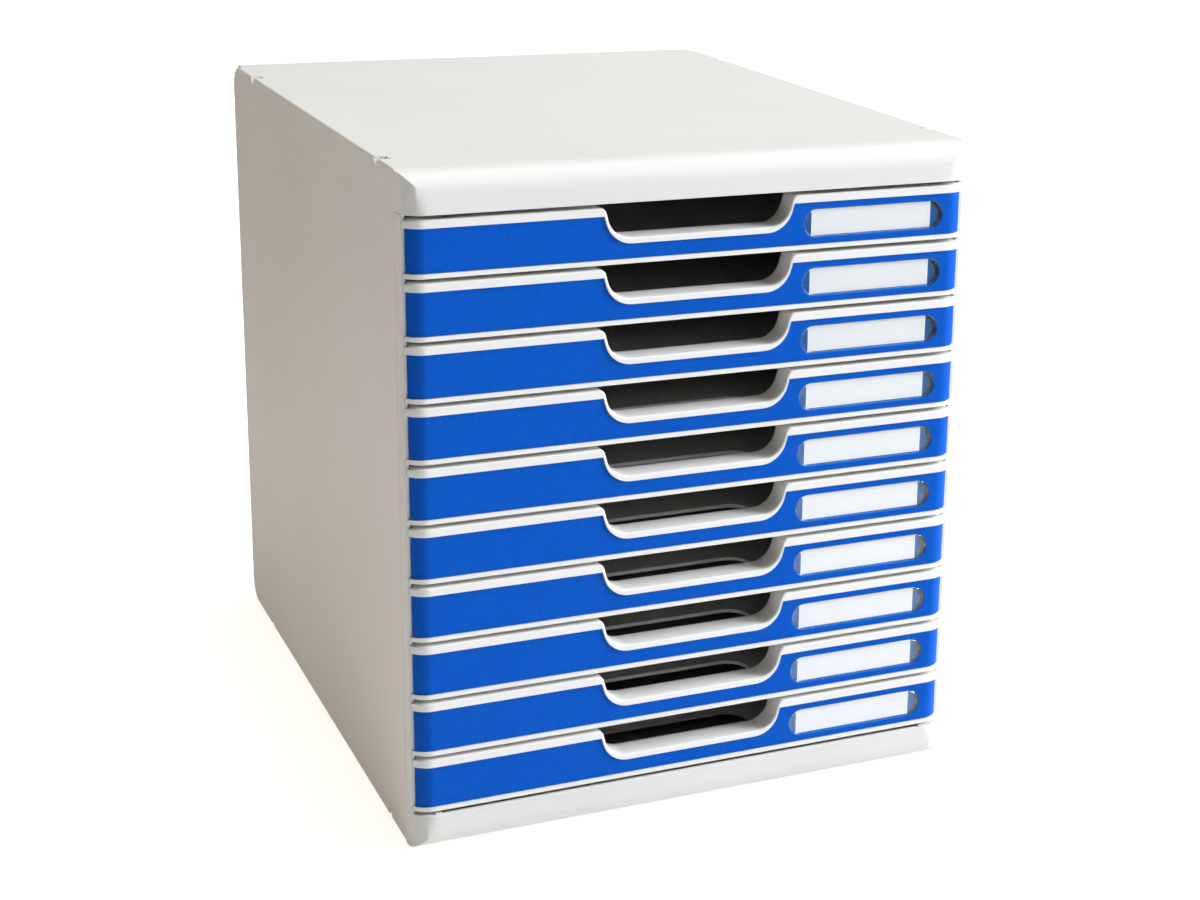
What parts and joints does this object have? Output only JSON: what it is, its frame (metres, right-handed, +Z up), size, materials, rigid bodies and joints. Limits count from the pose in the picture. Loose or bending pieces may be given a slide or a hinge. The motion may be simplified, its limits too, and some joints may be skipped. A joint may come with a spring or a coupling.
{
  "type": "desktop drawer unit",
  "caption": "Desktop unit of shallow sliding drawers for A4 sheets, with a finger dip and a label window in each coloured front.",
  "frame": {"origin": "on the ground, under the middle of the unit", "axes": "+Z up, the drawers open towards -Y, +X to the right of a person facing the drawers"},
  "size_m": [0.288, 0.356, 0.33],
  "materials": {
    "casing_plastic": "fine matt grain",
    "tray_plastic": "satin",
    "face_plastic": "fine leather grain",
    "clear_plastic": "clear, polished",
    "label_card": "plain card",
    "foot_rubber": "matt"
  },
  "bodies": {
    "casing": {"left_side_panel": "casing_plastic", "right_side_panel": "casing_plastic", "left_runners": "casing_plastic", "right_runners": "casing_plastic", "top_cap": "casing_plastic", "base": "casing_plastic", "back_panel": "casing_plastic", "anti_slip_feet": "foot_rubber"},
    "drawer_01": {"drawer_01_tray": "tray_plastic", "drawer_01_face": "face_plastic", "drawer_01_label_window": "clear_plastic", "drawer_01_label_card": "label_card"},
    "drawer_02": {"drawer_02_tray": "tray_plastic", "drawer_02_face": "face_plastic", "drawer_02_label_window": "clear_plastic", "drawer_02_label_card": "label_card"},
    "drawer_03": {"drawer_03_tray": "tray_plastic", "drawer_03_face": "face_plastic", "drawer_03_label_window": "clear_plastic", "drawer_03_label_card": "label_card"},
    "drawer_04": {"drawer_04_tray": "tray_plastic", "drawer_04_face": "face_plastic", "drawer_04_label_window": "clear_plastic", "drawer_04_label_card": "label_card"},
    "drawer_05": {"drawer_05_tray": "tray_plastic", "drawer_05_face": "face_plastic", "drawer_05_label_window": "clear_plastic", "drawer_05_label_card": "label_card"},
    "drawer_06": {"drawer_06_tray": "tray_plastic", "drawer_06_face": "face_plastic", "drawer_06_label_window": "clear_plastic", "drawer_06_label_card": "label_card"},
    "drawer_07": {"drawer_07_tray": "tray_plastic", "drawer_07_face": "face_plastic", "drawer_07_label_window": "clear_plastic", "drawer_07_label_card": "label_card"},
    "drawer_08": {"drawer_08_tray": "tray_plastic", "drawer_08_face": "face_plastic", "drawer_08_label_window": "clear_plastic", "drawer_08_label_card": "label_card"},
    "drawer_09": {"drawer_09_tray": "tray_plastic", "drawer_09_face": "face_plastic", "drawer_09_label_window": "clear_plastic", "drawer_09_label_card": "label_card"},
    "drawer_10": {"drawer_10_tray": "tray_plastic", "drawer_10_face": "face_plastic", "drawer_10_label_window": "clear_plastic", "drawer_10_label_card": "label_card"}
  },
  "joints": [
    {"name": "drawer_01_slide", "type": "slide", "parent": "casing", "child": "drawer_01", "axis": [0, -1, 0], "range_m": [0, 0.24]},
    {"name": "drawer_02_slide", "type": "slide", "parent": "casing", "child": "drawer_02", "axis": [0, -1, 0], "range_m": [0, 0.24]},
    {"name": "drawer_03_slide", "type": "slide", "parent": "casing", "child": "drawer_03", "axis": [0, -1, 0], "range_m": [0, 0.24]},
    {"name": "drawer_04_slide", "type": "slide", "parent": "casing", "child": "drawer_04", "axis": [0, -1, 0], "range_m": [0, 0.24]},
    {"name": "drawer_05_slide", "type": "slide", "parent": "casing", "child": "drawer_05", "axis": [0, -1, 0], "range_m": [0, 0.24]},
    {"name": "drawer_06_slide", "type": "slide", "parent": "casing", "child": "drawer_06", "axis": [0, -1, 0], "range_m": [0, 0.24]},
    {"name": "drawer_07_slide", "type": "slide", "parent": "casing", "child": "drawer_07", "axis": [0, -1, 0], "range_m": [0, 0.24]},
    {"name": "drawer_08_slide", "type": "slide", "parent": "casing", "child": "drawer_08", "axis": [0, -1, 0], "range_m": [0, 0.24]},
    {"name": "drawer_09_slide", "type": "slide", "parent": "casing", "child": "drawer_09", "axis": [0, -1, 0], "range_m": [0, 0.24]},
    {"name": "drawer_10_slide", "type": "slide", "parent": "casing", "child": "drawer_10", "axis": [0, -1, 0], "range_m": [0, 0.24]}
  ]
}
